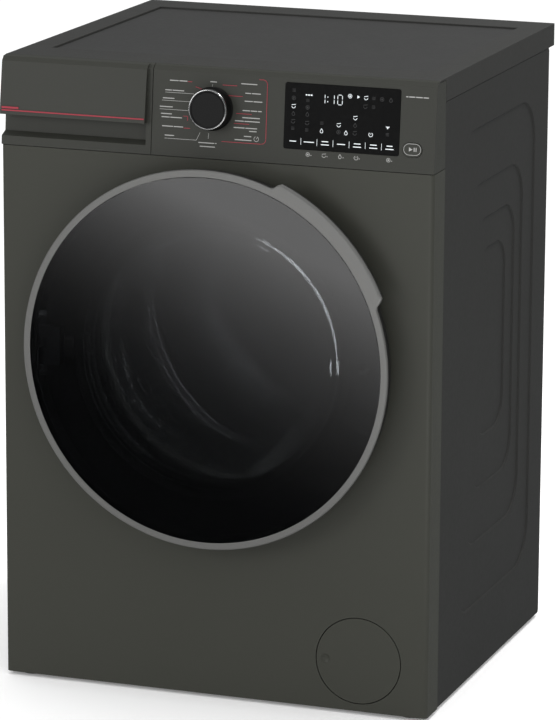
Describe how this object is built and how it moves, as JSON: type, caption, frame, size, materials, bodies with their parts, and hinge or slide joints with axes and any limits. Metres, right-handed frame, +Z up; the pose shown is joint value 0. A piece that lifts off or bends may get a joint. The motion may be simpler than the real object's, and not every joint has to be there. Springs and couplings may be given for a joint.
{
  "type": "front load washing machine",
  "caption": "Front load washing machine with a large round door, dispenser drawer, rotary programme knob, dark display window and service flap.",
  "frame": {"origin": "on the floor under the centre of the machine's overall box", "axes": "+X to the machine's right as seen from the front, +Y to the back, +Z up"},
  "size_m": [0.598, 0.58, 0.848],
  "materials": {
    "body_steel": "satin dark grey",
    "side_steel": "satin dark grey",
    "top_plastic": "fine texture",
    "board": "painted chipboard",
    "fascia": "satin",
    "display_glass": "gloss",
    "bezel": "metallic paint",
    "door_window": "dark gloss",
    "door_black": "fine texture",
    "bowl_glass": "clear",
    "zinc": "zinc plated",
    "stainless": "polished",
    "cast": "raw cast",
    "alloy": "die cast",
    "tub_plastic": "moulded",
    "black_plastic": "moulded",
    "white_plastic": "moulded",
    "blue_plastic": "moulded",
    "seal_rubber": "soft",
    "black_rubber": "soft",
    "circuit": "circuit board",
    "knob_black": "satin with a bright ring"
  },
  "bodies": {
    "cabinet": {"base_tray": "black_plastic", "left_side_panel": "side_steel", "right_side_panel": "side_steel", "rear_panel": "side_steel", "rear_cover": "side_steel", "front_panel": "body_steel", "top_frame": "top_plastic", "top_board": "board", "cabinet_braces": "zinc", "control_panel": "fascia", "display_window": "display_glass", "display_board": "circuit", "dispenser_housing": "white_plastic", "inlet_valve": "white_plastic", "door_lock": "black_plastic", "hinge_bracket": "zinc", "door_seal": "seal_rubber", "drain_pump": "black_plastic", "sump_hose": "black_rubber", "drain_hose": "white_plastic", "dispenser_hose": "black_rubber", "transit_caps": "black_plastic", "cable_gland": "black_rubber", "suspension_springs": "zinc"},
    "tub": {"tub_front": "tub_plastic", "tub_rear": "tub_plastic", "upper_weight": "cast", "front_weight": "cast", "heater": "stainless", "drum_bearings": "stainless", "shaft_seal": "black_rubber", "motor_housing": "alloy", "drive_belt": "black_rubber"},
    "drum": {"drum_shell": "stainless", "drum_lifters": "white_plastic", "drum_spider": "alloy", "drum_pulley": "alloy"},
    "motor_rotor": {"motor_rotor": "zinc"},
    "damper_left_tube": {"damper_tube_left": "black_plastic"},
    "damper_left_rod": {"damper_rod_left": "zinc"},
    "damper_right_tube": {"damper_tube_right": "black_plastic"},
    "damper_right_rod": {"damper_rod_right": "zinc"},
    "door": {"door_ring": "bezel", "door_window": "door_window", "door_inner_ring": "door_black", "door_glass": "bowl_glass", "hinge_leaf": "zinc"},
    "hook": {"door_hook": "zinc"},
    "drawer": {"drawer_front": "fascia", "drawer_tray": "white_plastic", "siphon_cap": "blue_plastic"},
    "knob": {"programme_knob": "knob_black"},
    "button": {"start_button": "fascia"},
    "flap": {"filter_flap": "body_steel"},
    "filter_ring": {"filter_seal": "black_rubber"},
    "filter": {"pump_filter": "white_plastic"},
    "front_left_foot": {"foot_front_left": "black_plastic"},
    "front_right_foot": {"foot_front_right": "black_plastic"},
    "rear_left_foot": {"foot_rear_left": "black_plastic"},
    "rear_right_foot": {"foot_rear_right": "black_plastic"}
  },
  "joints": [
    {"name": "door_hinge", "type": "hinge", "parent": "cabinet", "child": "door", "pos_m": [-0.243, -0.272, 0.4695], "axis": [0, 0, -1], "range_deg": [0, 120]},
    {"name": "hook_pivot", "type": "hinge", "parent": "door", "child": "hook", "pos_m": [0.2115, -0.266, 0.4695], "axis": [0, 0, 1], "range_deg": [0, 12], "stiffness_Nm_per_rad": 0.2},
    {"name": "drawer_slide", "type": "slide", "parent": "cabinet", "child": "drawer", "axis": [0, -1, 0], "range_m": [0, 0.2]},
    {"name": "knob_turn", "type": "hinge", "parent": "cabinet", "child": "knob", "pos_m": [-0.004, -0.24447, 0.79527], "axis": [0, -0.9964, 0.0844], "continuous": true},
    {"name": "start_press", "type": "slide", "parent": "cabinet", "child": "button", "axis": [0, 0.9964, -0.0844], "range_m": [0, 0.0012], "stiffness_N_per_m": 400},
    {"name": "flap_hinge", "type": "hinge", "parent": "cabinet", "child": "flap", "pos_m": [0.272, -0.246, 0.074], "axis": [0, 0, 1], "range_deg": [0, 90]},
    {"name": "filter_travel", "type": "slide", "parent": "cabinet", "child": "filter_ring", "axis": [0, -1, 0], "range_m": [0, 0.0121]},
    {"name": "filter_turn", "type": "hinge", "parent": "filter_ring", "child": "filter", "pos_m": [0.204, -0.216, 0.074], "axis": [0, -1, 0], "range_deg": [0, 540]},
    {"name": "tub_float", "type": "slide", "parent": "cabinet", "child": "tub", "axis": [0, 0, 1], "range_m": [-0.008, 0.008], "stiffness_N_per_m": 20000, "springref_m": 0.01859, "deforming": ["suspension_springs", "door_seal", "sump_hose", "dispenser_hose"]},
    {"name": "drum_spin", "type": "hinge", "parent": "tub", "child": "drum", "pos_m": [0, -0.25, 0.4695], "axis": [0, -1, 0], "continuous": true},
    {"name": "motor_spin", "type": "hinge", "parent": "tub", "child": "motor_rotor", "pos_m": [0, -0.25, 0.1305], "axis": [0, -1, 0], "continuous": true},
    {"name": "damper_left_tilt", "type": "hinge", "parent": "cabinet", "child": "damper_left_tube", "pos_m": [-0.21, -0.025, 0.046], "axis": [0, 1, 0], "range_deg": [-2, 2]},
    {"name": "damper_left_slide", "type": "slide", "parent": "damper_left_tube", "child": "damper_left_rod", "axis": [0.3069, 0, 0.9517], "range_m": [-0.01, 0.01]},
    {"name": "damper_right_tilt", "type": "hinge", "parent": "cabinet", "child": "damper_right_tube", "pos_m": [0.21, -0.025, 0.046], "axis": [0, 1, 0], "range_deg": [-2, 2]},
    {"name": "damper_right_slide", "type": "slide", "parent": "damper_right_tube", "child": "damper_right_rod", "axis": [-0.3069, 0, 0.9517], "range_m": [-0.01, 0.01]},
    {"name": "front_left_foot_screw", "type": "slide", "parent": "cabinet", "child": "front_left_foot", "axis": [0, 0, -1], "range_m": [0, 0.012]},
    {"name": "front_right_foot_screw", "type": "slide", "parent": "cabinet", "child": "front_right_foot", "axis": [0, 0, -1], "range_m": [0, 0.012]},
    {"name": "rear_left_foot_screw", "type": "slide", "parent": "cabinet", "child": "rear_left_foot", "axis": [0, 0, -1], "range_m": [0, 0.012]},
    {"name": "rear_right_foot_screw", "type": "slide", "parent": "cabinet", "child": "rear_right_foot", "axis": [0, 0, -1], "range_m": [0, 0.012]}
  ],
  "couplings": [
    {"joint": "motor_spin", "follows": "drum_spin", "ratio": 15},
    {"joint": "filter_travel", "follows": "filter_turn", "m_per_rad": 0.0012732},
    {"joint": "damper_left_tilt", "follows": "tub_float", "rad_per_m": -1.5702},
    {"joint": "damper_left_slide", "follows": "tub_float", "ratio": 0.95173},
    {"joint": "damper_right_tilt", "follows": "tub_float", "rad_per_m": 1.5702},
    {"joint": "damper_right_slide", "follows": "tub_float", "ratio": 0.95173}
  ]
}
